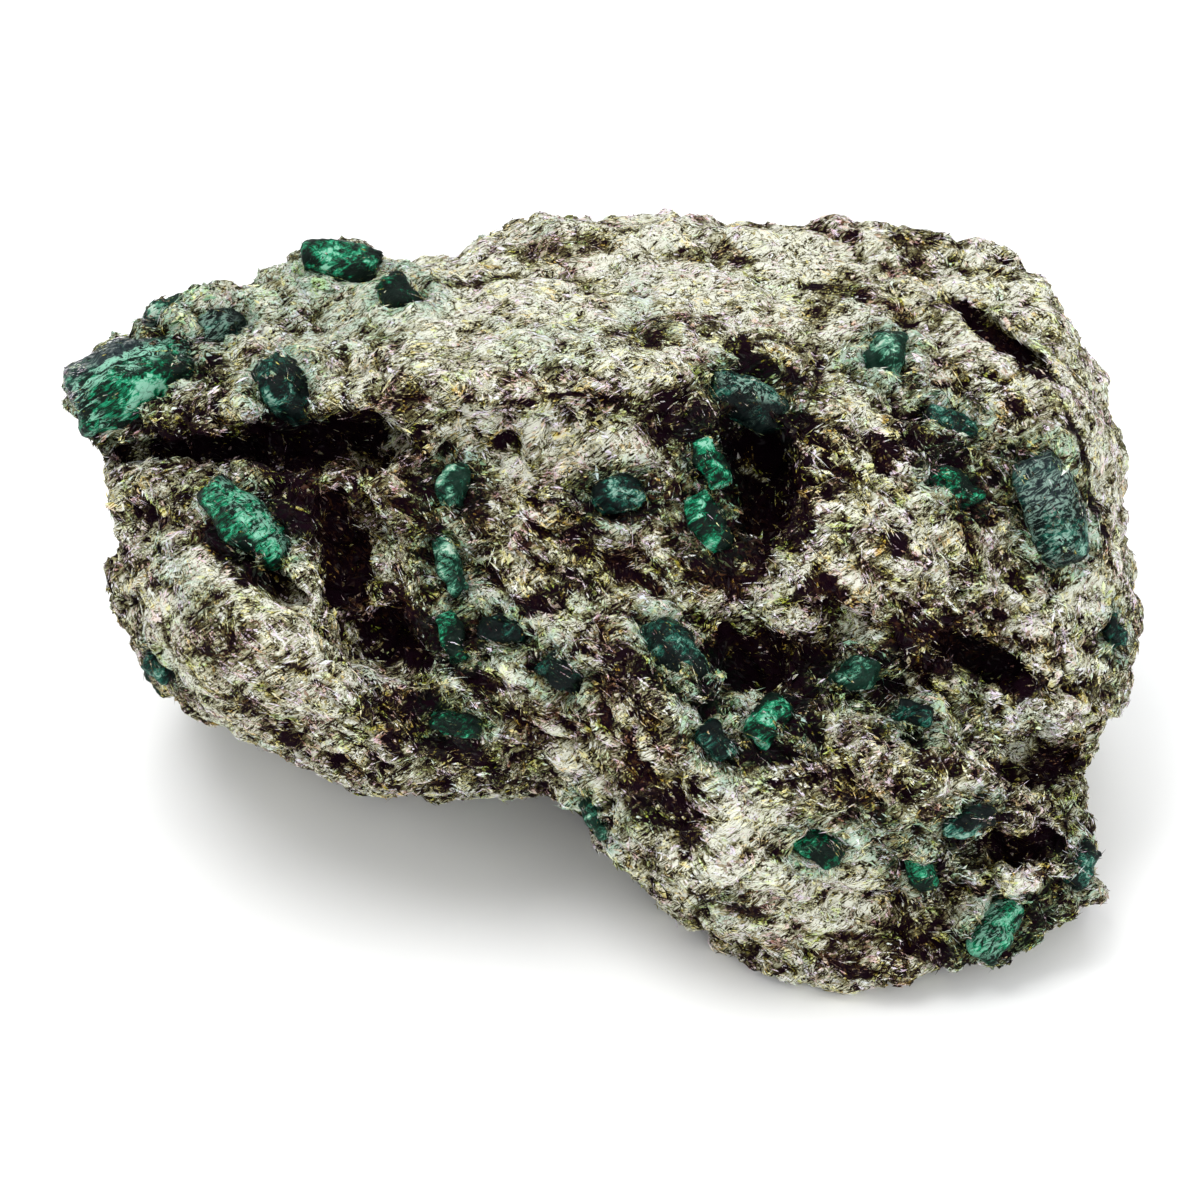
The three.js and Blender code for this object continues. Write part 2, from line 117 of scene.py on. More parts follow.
class Wiring:
    # short ways to add shader nodes
    def __init__(self, name):
        self.material = bpy.data.materials.new(name)
        self.material.use_nodes = True
        self.tree = self.material.node_tree
        self.shader = self.tree.nodes["Principled BSDF"]

    def add(self, kind, **settings):
        node = self.tree.nodes.new(kind)
        for key, value in settings.items():
            setattr(node, key, value)
        return node

    def link(self, source, target):
        if isinstance(source, (int, float)):
            target.default_value = source
        elif isinstance(source, tuple):
            target.default_value = (*source, 1.0)
        else:
            self.tree.links.new(source, target)

    def place(self, scale=(1, 1, 1), turn=(0, 0, 0)):
        # object coordinates in mm, turned, then stretched
        coords = self.add("ShaderNodeTexCoord")
        turned = self.add("ShaderNodeMapping")
        turned.inputs["Rotation"].default_value = turn
        turned.inputs["Scale"].default_value = (1 / mm, 1 / mm, 1 / mm)
        self.link(coords.outputs["Object"], turned.inputs["Vector"])
        stretched = self.add("ShaderNodeMapping")
        stretched.inputs["Scale"].default_value = scale
        self.link(turned.outputs["Vector"], stretched.inputs["Vector"])
        return stretched.outputs["Vector"]

    def clouds(self, vector, scale, detail=4.0, rough=0.55, warp=0.0):
        node = self.add("ShaderNodeTexNoise")
        node.inputs["Scale"].default_value = scale
        node.inputs["Detail"].default_value = detail
        node.inputs["Roughness"].default_value = rough
        node.inputs["Distortion"].default_value = warp
        self.link(vector, node.inputs["Vector"])
        return node.outputs["Fac"]

    def cellEdges(self, vector, scale):
        node = self.add("ShaderNodeTexVoronoi", feature="DISTANCE_TO_EDGE")
        node.inputs["Scale"].default_value = scale
        self.link(vector, node.inputs["Vector"])
        return node.outputs["Distance"]

    def attribute(self, name):
        return self.add("ShaderNodeAttribute", attribute_name=name).outputs["Fac"]

    def math(self, operation, first, second=0.5, clamp=False):
        node = self.add("ShaderNodeMath", operation=operation, use_clamp=clamp)
        self.link(first, node.inputs[0])
        self.link(second, node.inputs[1])
        return node.outputs[0]

    def swing(self, level, value, weight, middle=0.5):
        # moves the level by how far the value is from its middle
        return self.math("ADD", level, self.math("MULTIPLY", self.math("SUBTRACT", value, middle), weight))

    def fade(self, value, low, high, start=0.0, end=1.0):
        node = self.add("ShaderNodeMapRange", interpolation_type="SMOOTHSTEP")
        self.link(value, node.inputs["Value"])
        node.inputs["From Min"].default_value = low
        node.inputs["From Max"].default_value = high
        node.inputs["To Min"].default_value = start
        node.inputs["To Max"].default_value = end
        return node.outputs["Result"]

    def mix(self, factor, first, second, blend="MIX"):
        node = self.add("ShaderNodeMix", data_type="RGBA", blend_type=blend)
        self.link(factor, node.inputs["Factor"])
        self.link(first, node.inputs[6])
        self.link(second, node.inputs[7])
        return node.outputs[2]

    def ramp(self, factor, stops):
        node = self.add("ShaderNodeValToRGB")
        elements = node.color_ramp.elements
        while len(elements) < len(stops):
            elements.new(0.5)
        for element, (position, colour) in zip(elements, stops):
            element.position = position
            element.color = (*colour, 1.0)
        self.link(factor, node.inputs["Fac"])
        return node.outputs["Color"]

    def cracked(self, level):
        # darkens thin lines along the foliation, where a stretched noise crosses its middle value
        for scale, thin in cracks["lines"]:
            stretched = self.place(cracks["stretch"], foliation)
            lines = self.clouds(stretched, scale, detail=3.0, rough=0.6, warp=0.9)
            line = self.math("ABSOLUTE", self.math("SUBTRACT", lines, 0.5))
            line = self.fade(line, 0.0, thin, start=1.0, end=0.0)
            level = self.math("SUBTRACT", level, self.math("MULTIPLY", line, cracks["depth"]))
        return level

    def bump(self, height, distance, strength=1.0):
        node = self.add("ShaderNodeBump")
        node.inputs["Distance"].default_value = distance * mm
        node.inputs["Strength"].default_value = strength
        self.link(height, node.inputs["Height"])
        self.link(node.outputs["Normal"], self.shader.inputs["Normal"])

    def set(self, **values):
        for key, value in values.items():
            self.link(value, self.shader.inputs[key.replace("_", " ")])


# hollow is the near-black purple used for painted shade in hollows, gaps and crevices, and for the darkest
# flakes.
schistTones = {
    "hollow": (0.0055, 0.0005, 0.0032),
    "brown": (0.034, 0.024, 0.009),
    "olive": (0.165, 0.150, 0.066),
    "grey": (0.42, 0.41, 0.28),
    "silver": (0.70, 0.70, 0.60),
    "rust": (0.24, 0.10, 0.04),
    "yellow": (1.0, 0.90, 0.48),
    "moss": (0.72, 1.0, 0.55),
    "pink": (1.0, 0.72, 0.62),
    "purple": (0.96, 0.68, 1.0),
    "straw": (1.0, 0.92, 0.24),
}
stainTones = [(0.15, (0.0005, 0.006, 0.003)), (0.5, (0.002, 0.045, 0.020)), (0.8, (0.014, 0.14, 0.075)),
              (1.0, (0.15, 0.42, 0.28))]
foliation = (0.0, math.radians(41), 0.0)  # turns the grain of a texture along X
# Each set of cracks has how fine its pattern is and how thin its lines are.
cracks = {"lines": [(0.5, 0.034), (1.3, 0.038)], "stretch": (0.32, 1.7, 1.7), "depth": 0.7}
schistLook = {"stretch": (0.3, 1.5, 1.5), "streaks": 1.8, "speckle": 1.2, "level": 1.6, "rust": 0.5,
              "stain": 0.9, "bumpDepth": 0.35, "bumpStrength": 0.8}


def schistMaterial():
    w = Wiring("mica schist")
    streaks = w.clouds(w.place(schistLook["stretch"], foliation), 0.9, detail=7.0, rough=0.68, warp=0.8)
    speckle = w.clouds(w.place(), 1.4, detail=6.0, rough=0.72)
    level = w.math("ADD", w.math("MULTIPLY", streaks, schistLook["streaks"]),
                   w.math("MULTIPLY", speckle, schistLook["speckle"]))
    # the tone attribute brings the rock's painted shade and painted light into its colour
    level = w.math("ADD", w.math("SUBTRACT", level, schistLook["level"]), w.attribute("tone"))
    level = w.cracked(level)
    stops = [(0.12, schistTones["hollow"]), (0.32, schistTones["brown"]), (0.52, schistTones["olive"]),
             (0.72, schistTones["grey"]), (0.95, schistTones["silver"])]
    colour = w.ramp(level, stops)
    rusty = w.math("MULTIPLY", w.attribute("warm"), w.fade(speckle, 0.5, 0.7, end=schistLook["rust"]))
    colour = w.mix(rusty, colour, schistTones["rust"])
    stained = w.math("MULTIPLY", w.attribute("green"), w.fade(streaks, 0.44, 0.56, end=schistLook["stain"]))
    colour = w.mix(stained, colour, w.ramp(level, stainTones))
    w.set(Base_Color=colour, Roughness=0.75, Specular_IOR_Level=0.05)
    w.bump(w.math("ADD", streaks, speckle), schistLook["bumpDepth"], schistLook["bumpStrength"])
    return w.material


# How much a flake's shade follows the fine lines along it, the rock's flecks, its bands and its own tone.
flakeLook = {
    "stretch": (0.7, 3.2, 1.0), "apart": 900.0, "lines": 0.8, "flecks": 1.7, "bands": 1.4, "tone": 1.1,
    "toneMiddle": -0.03, "calm": 0.4, "hollow": 0.18, "stops": (0.30, 0.43, 0.63, 0.92), "rust": 0.35,
    "stain": 0.95,
}


def micaMaterial(name, tones, roughness, shine, spread, glints):
    # each flake has one shade, from its own draw and from the rock that it lies on, and fine lines along it
    w = Wiring(name)
    own = w.attribute("draw")
    tintDraw = w.math("FRACT", w.math("MULTIPLY", own, 17.3))
    warmDraw = w.math("FRACT", w.math("MULTIPLY", own, 91.7))
    onChip = w.add("ShaderNodeAttribute", attribute_name="chip")
    stretched = w.add("ShaderNodeMapping")
    stretched.inputs["Scale"].default_value = flakeLook["stretch"]
    w.link(onChip.outputs["Vector"], stretched.inputs["Vector"])
    shifted = w.add("ShaderNodeVectorMath", operation="ADD")
    w.link(stretched.outputs["Vector"], shifted.inputs[0])
    place = w.add("ShaderNodeCombineXYZ")
    w.link(w.math("MULTIPLY", own, flakeLook["apart"]), place.inputs["X"])
    w.link(place.outputs["Vector"], shifted.inputs[1])
    lines = w.clouds(shifted.outputs["Vector"], 1.3, detail=2.0, rough=0.6)
    flecks = w.clouds(w.place(), 1.1, detail=5.0, rough=0.74)
    bands = w.clouds(w.place((0.25, 1.6, 1.6), foliation), 1.0, detail=4.0, rough=0.65, warp=1.2)
    level = w.math("MULTIPLY", w.math("SUBTRACT", own, 0.5), spread)
    level = w.math("MULTIPLY", level, w.fade(w.attribute("loose"), 0.0, 1.0, start=flakeLook["calm"]))
    level = w.swing(level, lines, flakeLook["lines"])
    level = w.swing(level, flecks, flakeLook["flecks"])
    level = w.swing(level, bands, flakeLook["bands"])
    # the rock's tone brings its painted shade and painted light onto the flakes lying there
    level = w.swing(level, w.attribute("tone"), flakeLook["tone"], flakeLook["toneMiddle"])
    level = w.cracked(level)
    # painted glints: a few flakes are lifted toward the palest tone, standing in for sparkles of light off
    # their faces
    glint = w.fade(own, 0.945, 0.96, end=glints)
    level = w.math("ADD", w.math("MAXIMUM", level, 0.0), glint, clamp=True)
    stops = [(flakeLook["hollow"], schistTones["hollow"]), *zip(flakeLook["stops"], tones)]
    colour = w.ramp(level, stops)
    # faint tints, some by the flake and some by the patch of rock, and weakest on the palest flakes
    tinted = w.fade(level, 0.45, 0.95, start=1.0, end=0.4)
    patches = w.clouds(w.place(), 0.45, detail=3.0, rough=0.6)
    stains = w.clouds(w.place((0.6, 1.2, 1.2), foliation), 0.3, detail=4.0, rough=0.65)
    tints = [(tintDraw, 0.6, 1.2, "yellow"), (warmDraw, 0.7, 1.3, "pink"), (patches, 0.51, 0.56, "purple"),
             (patches, 0.49, 0.43, "straw"), (stains, 0.53, 0.60, "moss"), (stains, 0.46, 0.40, "pink")]
    for driver, low, high, tint in tints:
        share = w.math("MULTIPLY", tinted, w.fade(driver, low, high))
        colour = w.mix(share, colour, schistTones[tint], "MULTIPLY")
    rusty = w.math("MULTIPLY", w.attribute("warm"), w.fade(tintDraw, 0.6, 0.9, end=flakeLook["rust"]))
    colour = w.mix(rusty, colour, schistTones["rust"])
    stained = w.math("MULTIPLY", w.attribute("green"), w.fade(warmDraw, 0.1, 0.6, end=flakeLook["stain"]))
    colour = w.mix(stained, colour, w.ramp(level, stainTones))
    w.set(Base_Color=colour, Roughness=roughness, Specular_IOR_Level=shine)
    return w.material


emeraldTones = {
    "bright": [(0.0005, 0.005, 0.003), (0.001, 0.032, 0.014), (0.002, 0.11, 0.048), (0.004, 0.25, 0.115),
               (0.04, 0.36, 0.19), (0.26, 0.56, 0.41)],
    "dark": [(0.0005, 0.003, 0.003), (0.001, 0.012, 0.009), (0.002, 0.038, 0.027), (0.006, 0.095, 0.062),
             (0.04, 0.18, 0.13), (0.26, 0.42, 0.34)],
    "pale": [(0.003, 0.020, 0.012), (0.010, 0.070, 0.042), (0.04, 0.18, 0.11), (0.11, 0.34, 0.22),
             (0.26, 0.48, 0.35), (0.50, 0.64, 0.52)],
}
emeraldStops = (0.0, 0.2, 0.42, 0.62, 0.82, 1.0)
emeraldGlass = {"Transmission_Weight": 0.08, "IOR": 1.58, "Specular_IOR_Level": 0.03, "Coat_Weight": 0.03,
                "Coat_Roughness": 0.12}
emeraldLook = {"glow": 4.2, "fibres": 4.6, "level": 4.6, "flaws": 0.4, "threads": 0.6, "threadMiddle": 0.52,
               "threadWidth": 0.008, "bumpDepth": 0.25, "bumpStrength": 0.7}
slateTones = [(0.38, (0.005, 0.010, 0.014)), (0.50, (0.035, 0.052, 0.056)), (0.64, (0.33, 0.36, 0.34))]


def emeraldMaterial(toneName):
    # a soft painted glow from within, brighter green patches standing in for light inside the crystal, and
    # over it torn fibres, clouded patches and threads of white
    w = Wiring("emerald " + toneName)
    tones = emeraldTones[toneName]
    plain = w.place()
    glow = w.clouds(plain, 0.34, detail=2.0, rough=0.5, warp=0.6)
    fibres = w.clouds(w.place((0.4, 1.8, 1.8), foliation), 1.3, detail=6.0, rough=0.72, warp=0.8)
    wisps = w.clouds(w.place((0.5, 1.6, 1.6), foliation), 0.8, detail=7.0, rough=0.75, warp=1.2)
    flaws = w.cellEdges(plain, 0.4)
    level = w.math("ADD", w.math("MULTIPLY", glow, emeraldLook["glow"]),
                   w.math("MULTIPLY", fibres, emeraldLook["fibres"]))
    level = w.math("ADD", w.math("SUBTRACT", level, emeraldLook["level"]), w.attribute("clear"))
    colour = w.ramp(level, list(zip(emeraldStops, tones)))
    thread = w.math("ABSOLUTE", w.math("SUBTRACT", wisps, emeraldLook["threadMiddle"]))
    threads = w.fade(thread, 0.0, emeraldLook["threadWidth"], start=emeraldLook["threads"], end=0.0)
    threads = w.math("MULTIPLY", threads, w.fade(glow, 0.48, 0.6))
    clouded = w.math("MULTIPLY", w.attribute("film"), w.fade(wisps, 0.5, 0.55))
    veiled = w.math("MAXIMUM", threads, clouded)
    colour = w.mix(w.fade(flaws, 0.0, 0.03, start=emeraldLook["flaws"], end=0.0), colour, tones[0])
    colour = w.mix(w.attribute("slate"), colour, w.ramp(wisps, slateTones))
    colour = w.mix(veiled, colour, tones[-1])
    w.set(Base_Color=colour, Roughness=w.fade(wisps, 0.4, 0.6, start=0.3, end=0.5), **emeraldGlass)
    w.bump(w.math("ADD", wisps, fibres), emeraldLook["bumpDepth"], emeraldLook["bumpStrength"])
    return w.material


floorTones = (0.91, 0.91, 0.905), (0.93, 0.93, 0.925)


def floorMaterial():
    w = Wiring("pale floor")
    grain = w.clouds(w.place(), 0.02, detail=2.0)
    w.set(Base_Color=w.mix(w.fade(grain, 0.3, 0.7), *floorTones), Roughness=0.7)
    return w.material


schist = schistMaterial()
emeralds = {tone: emeraldMaterial(tone) for tone in emeraldTones}
print("materials ready")

# Zones that follow the show face: u, v, half sizes a and b, turn in degrees, and strength.
# Painted shade, partly dark mica: these zones darken the rock and its flakes in hollows, clefts and under
# overhanging ledges, where shade falls.
shadeAndDarkMicaZones = [
    (-30, 14.4, 6, 3.2, 0, 1.0), (-29.6, 9, 2.8, 4.2, 20, 0.95), (-25.2, 3.8, 2.6, 5, 18, 1.0),
    (-40, 14.2, 6.6, 1.3, -3, 0.9), (-24, 15.8, 2.6, 2.2, 0, 0.9), (-35, 3, 5.6, 1.6, -38, 1.0),
    (-20, -4.4, 4, 3.2, -20, 1.0), (15.4, 10.2, 3.0, 6.6, 8, 1.0), (13.6, 4.4, 3.6, 2.4, -20, 0.95),
    (18.8, 8.4, 2, 4.4, 0, 0.8), (15, 15.8, 4.6, 3, -20, 0.85), (46.6, 15.6, 4.6, 0.6, -70, 0.7),
    (49.4, 6.4, 4.6, 0.6, -72, 0.7), (-4.6, 34, 6, 1.6, 4, 0.35), (11, 33.4, 5, 0.7, -6, 0.5),
    (-38, -5.4, 4, 2.6, -30, 0.35), (5, 25.6, 4.4, 1.8, 12, 0.4), (-13, 30.6, 6, 0.6, 12, 0.5),
    (24, 29.4, 8, 0.6, -14, 0.6), (-33, -13, 5, 1, -34, 0.4), (14.4, -6.4, 3.4, 3.6, 14, 0.95),
    (37, -6.8, 7, 1.9, -30, 0.95), (39.5, 25, 7, 1.0, -38, 0.9), (43.4, -17.6, 5.5, 1.6, 4, 0.7),
    (41, -25.6, 5.5, 1.3, 6, 0.7), (2.4, 9.3, 3.4, 2.2, 10, 0.75), (6, -22, 5, 2.4, -40, 0.6),
    (9, 26, 3.5, 1.6, 20, 0.4), (31, 14, 3, 1.5, 0, 0.4), (-3, 18.4, 7, 0.6, 2, 0.7),
    (-9, -12, 5, 1.4, -40, 0.3), (20, 20, 3, 1.4, -30, 0.5), (34, -17, 4, 1, -20, 0.5),
    (-13, -17, 4, 1.6, -30, 0.5), (27, -14, 3, 1.2, -20, 0.4), (13, -31, 6, 0.9, -25, 0.4),
    (19, -12, 3, 2.4, 0, 0.7), (-19, -12, 4, 3, 0, 0.5), (12, 1.8, 3.6, 1.8, -10, 0.75),
    (21.6, -0.6, 2.6, 2.2, -20, 0.85), (28.6, 4.6, 1.6, 1.6, 0, 0.75), (8, 17.6, 3.2, 2, -30, 0.6),
    (13.8, 24.2, 1.3, 1.3, 0, 0.9), (17, 21.8, 3.6, 1.2, -15, 0.8), (27.6, 14.2, 3, 0.9, -8, 0.75),
    (29.4, -5, 1.2, 2, -10, 0.85), (-12.5, -8.5, 4, 1.2, -30, 0.5), (20.3, -7.4, 1.8, 1.6, -20, 0.85),
    (16.5, -15.6, 2.6, 0.9, -10, 0.9),
]
# Partly pale mica, partly painted light: these zones brighten the top slab and the shadowed rock under its
# overhang, among other paler patches.
paleAndLitZones = [
    (-2, 30, 30, 9, 3, 0.26), (-38, 29, 6, 2.6, -5, 0.35), (-33, 25, 7, 4, -25, 0.3),
    (-38, -2, 9, 8, -42, 0.2), (-30, -11, 12, 6, -32, 0.1), (18, -28, 9, 8, -25, 0.25),
    (47, 12, 5, 20, 12, 0.22), (28, 4, 7, 6, 0, 0.12), (-6, -12, 10, 4, -35, 0.08),
    (28, 30, 20, 7, -12, 0.18), (0, -16, 4, 2.4, -30, 0.25), (7, 4, 4, 5, -40, 0.1),
    (42, -29, 9, 2, 4, 0.14), (-12, 20, 12, 4, 0, 0.12), (31, -13, 6, 4, -20, 0.14),
    (-25, 24, 10, 5, -20, 0.08), (43, 18, 6, 5, -30, 0.25), (-8, 14, 12, 3, 0, 0.2),
    (26, 21, 5, 6, -20, 0.2), (8, -2, 5, 2.2, -20, 0.2), (24, -3.4, 5, 1.6, -25, 0.2),
    (12, -34, 8, 4, -25, 0.2), (42, -10, 8, 3.4, -15, 0.2),
]
# Where the rock is silky and gently rounded rather than torn.
smoothZones = [
    (0, 30, 34, 9, 3, 1.0), (-36, -5, 12, 9, -40, 0.9), (18, -28, 10, 8, -25, 0.7), (48, 10, 6, 22, 12, 0.8),
    (28, 30, 20, 7, -12, 0.8), (-12, 21, 12, 4, 0, 0.9), (-30, 24, 10, 7, -20, 0.6), (27, 5, 7, 6, 0, 0.5),
]
greenZones = [
    (-46, 23, 10, 6, 12, 0.45), (-28, 30, 10, 6, -20, 0.4), (11, 10, 3.5, 8, 10, 0.8),
    (10, -9, 6, 4, -50, 0.7), (-14, 2, 2.2, 12, -8, 0.5), (28, 22, 6, 3, -20, 0.5), (24, -9, 5, 3, -20, 0.5),
    (30, -25, 8, 3.4, -15, 0.6), (41, -33, 6, 3, 30, 0.7), (-35, 6, 5, 4, -40, 0.6), (45, 8, 5, 7, 0, 0.4),
    (-12, -12, 4, 3, 0, 0.4), (17, -14, 5, 3, 0, 0.6), (-41, 1, 6, 2, -50, 0.4), (-5, 24, 6, 3, 0, 0.25),
    (40, -14, 6, 3, 0, 0.25),
]
warmZones = [
    (-13, 3, 8, 9, -20, 0.4), (8, 4, 7, 9, -40, 0.5), (-2, -14, 10, 5, -35, 0.5), (-33, -8, 9, 6, -30, 0.3),
    (30, -2, 10, 4, -20, 0.4), (-24, 8, 4, 7, 0, 0.4), (20, -33, 10, 4, -25, 0.35), (6, 31, 8, 4, 0, 0.3),
]
zoneEdge = {"reach": 1.25, "blend": 0.6}  # how far out a zone starts to fade in, and over how much it does
# Zones fade out where a surface turns away from the show face: from none to all, as the cosine of its turn.
turnedAway = {"rock": (-0.35, 0.15), "crystal": (-0.4, 0.1)}
# Which way the foliation runs over the show face: u, v, and its angle in degrees above the level.
foliationSpots = [
    (-48, 20, 12), (-28, 27, -28), (0, 32, 8), (20, 33, -3), (38, 27, -32), (48, 15, -62), (50, -3, -76),
    (30, 8, -35), (8, 8, -42), (-10, 0, -50), (-34, -4, -36), (-44, -6, -52), (-22, -18, -26), (5, -12, -48),
    (22, -10, -30), (40, -14, -15), (24, -30, -28), (44, -28, 4), (8, -28, -45), (-8, 21, 0),
]
# How far a spot's angle reaches, and how much the grain swirls at three sizes in mm.
swirl = {"reach": 30, "broad": (0.55, 9.0), "fine": (0.3, 4.0), "lift": (0.5, 7.0)}


def addMarks(mesh, *names):
    # new values for every point; they are fetched once all are there, because adding one moves the others
    for name in names:
        mesh.attributes.new(name, "FLOAT", "POINT")
    mesh.attributes.new("grain", "FLOAT_VECTOR", "POINT")
    return {name: mesh.attributes[name].data for name in (*names, "grain")}


def inZones(zones, u, v):
    most = 0.0
    for centreU, centreV, a, b, turn, strength in zones:
        angle = math.radians(turn)
        du, dv = u - centreU, v - centreV
        along = (du * math.cos(angle) + dv * math.sin(angle)) / a
        across = (dv * math.cos(angle) - du * math.sin(angle)) / b
        inward = zoneEdge["reach"] - math.hypot(along, across)
        most = max(most, strength * smoothStep(inward, 0.0, zoneEdge["blend"]))
    return most


def swirling(name, point):
    # one of the swirl's noises, at this point
    weight, size = swirl[name]
    return weight * noise.noise(point / size)


def grainDirection(u, v, point):
    # the foliation near this point, swirling a little everywhere
    total = turned = 0.0
    for spotU, spotV, angle in foliationSpots:
        weight = 1 / ((u - spotU) ** 2 + (v - spotV) ** 2 + swirl["reach"]) ** 2
        total += weight
        turned += weight * angle
    angle = math.radians(turned / total) + swirling("broad", point) + swirling("fine", point)
    return math.cos(angle) * faceRight + math.sin(angle) * faceUp + swirling("lift", point) * faceOut


grainTurn = math.radians(-34)  # the foliation's usual angle on the show face
grainAxis = (math.cos(grainTurn) * faceRight + math.sin(grainTurn) * faceUp).normalized()
grainNormal = faceOut.copy()
grainAcross = grainNormal.cross(grainAxis)

# Sizes of the relief's shapes in mm: along the foliation, across it and into it.
reliefSizes = {"ledge": (13, 3.6, 4.5), "lump": (7.5, 3.8, 4.4), "chip": (3.6, 1.3, 1.6),
               "gap": (3.6, 1.4, 1.7)}
# Shifts that keep one noise from repeating another.
shifts = {"chip": Vector((7, 3, 1)), "gap": Vector((0, 9, 4)), "band": Vector((0, 2, 7))}
# Patches of calm rock, stain and rust: a noise's size in mm, its shift, and where it goes from none to all.
patches = {"calm": (15.0, Vector((0, 0, 9)), -0.1, 0.3), "stain": (8.0, Vector((31, 0, 0)), 0.3, 0.6),
           "rust": (6.0, Vector((0, 47, 0)), 0.3, 0.6)}
# How the grain bends, each bend as its reach and size in mm.
bends = {"bands": [(3.2, 10.0)], "relief": [(2.2, 11.0), (0.9, 3.5)]}
# The net and the relief's heights in mm, how dark each shape gets (random tones for lumps and chips, and
# painted shade in crevices, at chip edges, in gaps and on low ledges), and how much is left on silky rock.
stone = {
    "voxel": 0.6, "ledge": 1.1, "lump": 0.9, "crevice": 0.9, "chip": 0.5, "gap": 0.9, "grit": 0.16,
    "gritSize": 0.9, "foot": 1.6, "lumpShade": 0.12, "chipShade": 0.26, "creviceShade": 0.18,
    "chipEdgeShade": 0.12, "gapShade": 0.8, "ledgeShade": 0.10, "silkyHeight": 0.15, "silkyShade": 0.2,
    "silkyGap": 0.1,
}


def alongGrain(point, sizes):
    # the point in the foliation's own directions, in units of these sizes
    axes = (grainAxis, grainAcross, grainNormal)
    return Vector([point.dot(axis) / size for axis, size in zip(axes, sizes)])


def bentBy(name, point):
    # the point, moved by these bends
    moves = [reach * noise.noise_vector(point / size) for reach, size in bends[name]]
    return point + sum(moves, Vector())


def patchy(name, point):
    # how much of this patch there is here
    size, shift, low, high = patches[name]
    return smoothStep(noise.noise(point / size + shift), low, high)


def banded(point, length, width):
    # a smooth noise drawn out along the foliation and swirling with it, its sizes in mm
    spot = alongGrain(bentBy("bands", point), (length, width, width))
    return noise.noise(spot + Vector((width, 0, 0)) + shifts["band"])


def schistRelief(point, rough):
    # how far the surface stands out in mm, how dark it is (random tones, and painted shade in its crevices,
    # gaps and low places), and which way its lump bulges
    bent = bentBy("relief", point)
    ledge = noise.noise(alongGrain(bent, reliefSizes["ledge"]))
    ledge = math.copysign(abs(ledge) ** 0.6, ledge)
    spot = alongGrain(bent, reliefSizes["lump"])
    distances, points = noise.voronoi(spot)
    lump = 0.45 - distances[0]
    edge = smoothStep(distances[1] - distances[0], 0.0, 0.22)
    outward = spot - points[0]
    bulge = outward.x * grainAxis + outward.y * grainAcross + outward.z * grainNormal
    lumpShade = noise.cell(points[0] * 31.7) - 0.5
    distances, points = noise.voronoi(alongGrain(bent, reliefSizes["chip"]) + shifts["chip"])
    chip = 0.45 - distances[0]
    chipEdge = smoothStep(distances[1] - distances[0], 0.0, 0.2)
    chipShade = noise.cell(points[0] * 57.3) - 0.5
    grit = noise.noise(bent / stone["gritSize"])
    gap = noise.fractal(alongGrain(bent, reliefSizes["gap"]) + shifts["gap"], 0.7, 2.1, 3)
    gap = smoothStep(gap, 0.16, 0.42) * (stone["silkyGap"] + (1 - stone["silkyGap"]) * rough)
    height = stone["ledge"] * ledge + stone["lump"] * lump - stone["crevice"] * (1 - edge)
    height += stone["chip"] * (chip - 0.6 * (1 - chipEdge)) - stone["gap"] * gap
    height = height * (stone["silkyHeight"] + (1 - stone["silkyHeight"]) * rough) + stone["grit"] * grit
    shade = stone["lumpShade"] * lumpShade + stone["chipShade"] * chipShade
    # painted shade: crevices, chip edges, gaps and the low sides of ledges are darkened where shade falls
    shade = shade - stone["creviceShade"] * (1 - edge) - stone["chipEdgeShade"] * (1 - chipEdge)
    shade = shade * (stone["silkyShade"] + (1 - stone["silkyShade"]) * rough) - stone["gapShade"] * gap
    shade -= stone["ledgeShade"] * rough * smoothStep(-ledge, 0.1, 0.7)
    return height, shade, bulge


def crystalNames():
    return sorted(name for name in cadNodes if name.startswith("emerald_"))


def solidTree(nodeNames):
    # a search tree of these CAD nodes' skins
    shapes = bmesh.new()
    for nodeName in nodeNames:
        addSolid(shapes, nodeName)
    tree = BVHTree.FromBMesh(shapes)
    shapes.free()
    return tree


# How the rock takes hold of a crystal: sizes in mm, and how patchy its rim and its lowering are.
bed = {"swell": 0.5, "lower": 1.5, "rim": 0.9, "rimWidth": 3.5, "patch": 1.8, "rimLeast": 0.7,
       "rimPatchy": 1.4, "lowerPatchy": 1.3}
# The rock's tone: its level and most, its noise and its bands, each as strength and sizes in mm; then the
# painted shade of hollows: its level, its patchy noises as strength and size in mm, and how deep it goes.
toneLook = {"level": 1.0, "most": 1.15, "broad": (0.16, 13.0), "bands": [(0.3, 9.0, 3.6), (0.3, 4.4, 1.5)],
            "holeLevel": 0.85, "holes": [(0.9, 1.4), (0.5, 0.6)], "holeDepth": 0.3}
# How calm silky rock is, how much thicker flakes lie on the show face, the stains, and the grain round lumps.
skinLook = {"calm": 0.6, "silky": 0.6, "moreOnFace": 0.4, "stain": 0.35, "bedStain": 0.75, "rust": 0.4,
            "wrapOut": 0.6, "wrap": 0.9}


def rockTone(point, shade, pale, zone):
    # how pale the rock is here, before flakes, painted light and shade included; pale brightens it, and zone
    # says how much painted shade of a dark hollow there may be
    tone = toneLook["broad"][0] * noise.noise(point / toneLook["broad"][1])
    for strength, length, width in toneLook["bands"]:
        tone += strength * banded(point, length, width)
    tone = toneLook["level"] + tone + shade + pale
    holes = toneLook["holeLevel"]
    for strength, size in toneLook["holes"]:
        holes += strength * noise.noise(point / size)
    dark = min(1.0, max(0.0, holes * zone))
    return min(toneLook["most"], max(0.0, tone)) * (1 - dark) - toneLook["holeDepth"] * dark


def wrappedGrain(foliated, normal, bulge):
    # the foliation, bent so that it wraps round a lump
    wrapped = normal.cross(bulge)
    if wrapped.dot(foliated) < 0:
        wrapped = -wrapped
    share = smoothStep(bulge.length, 0.15, 0.5)
    return foliated * (1 - skinLook["wrapOut"] * share) + wrapped.normalized() * (skinLook["wrap"] * share)


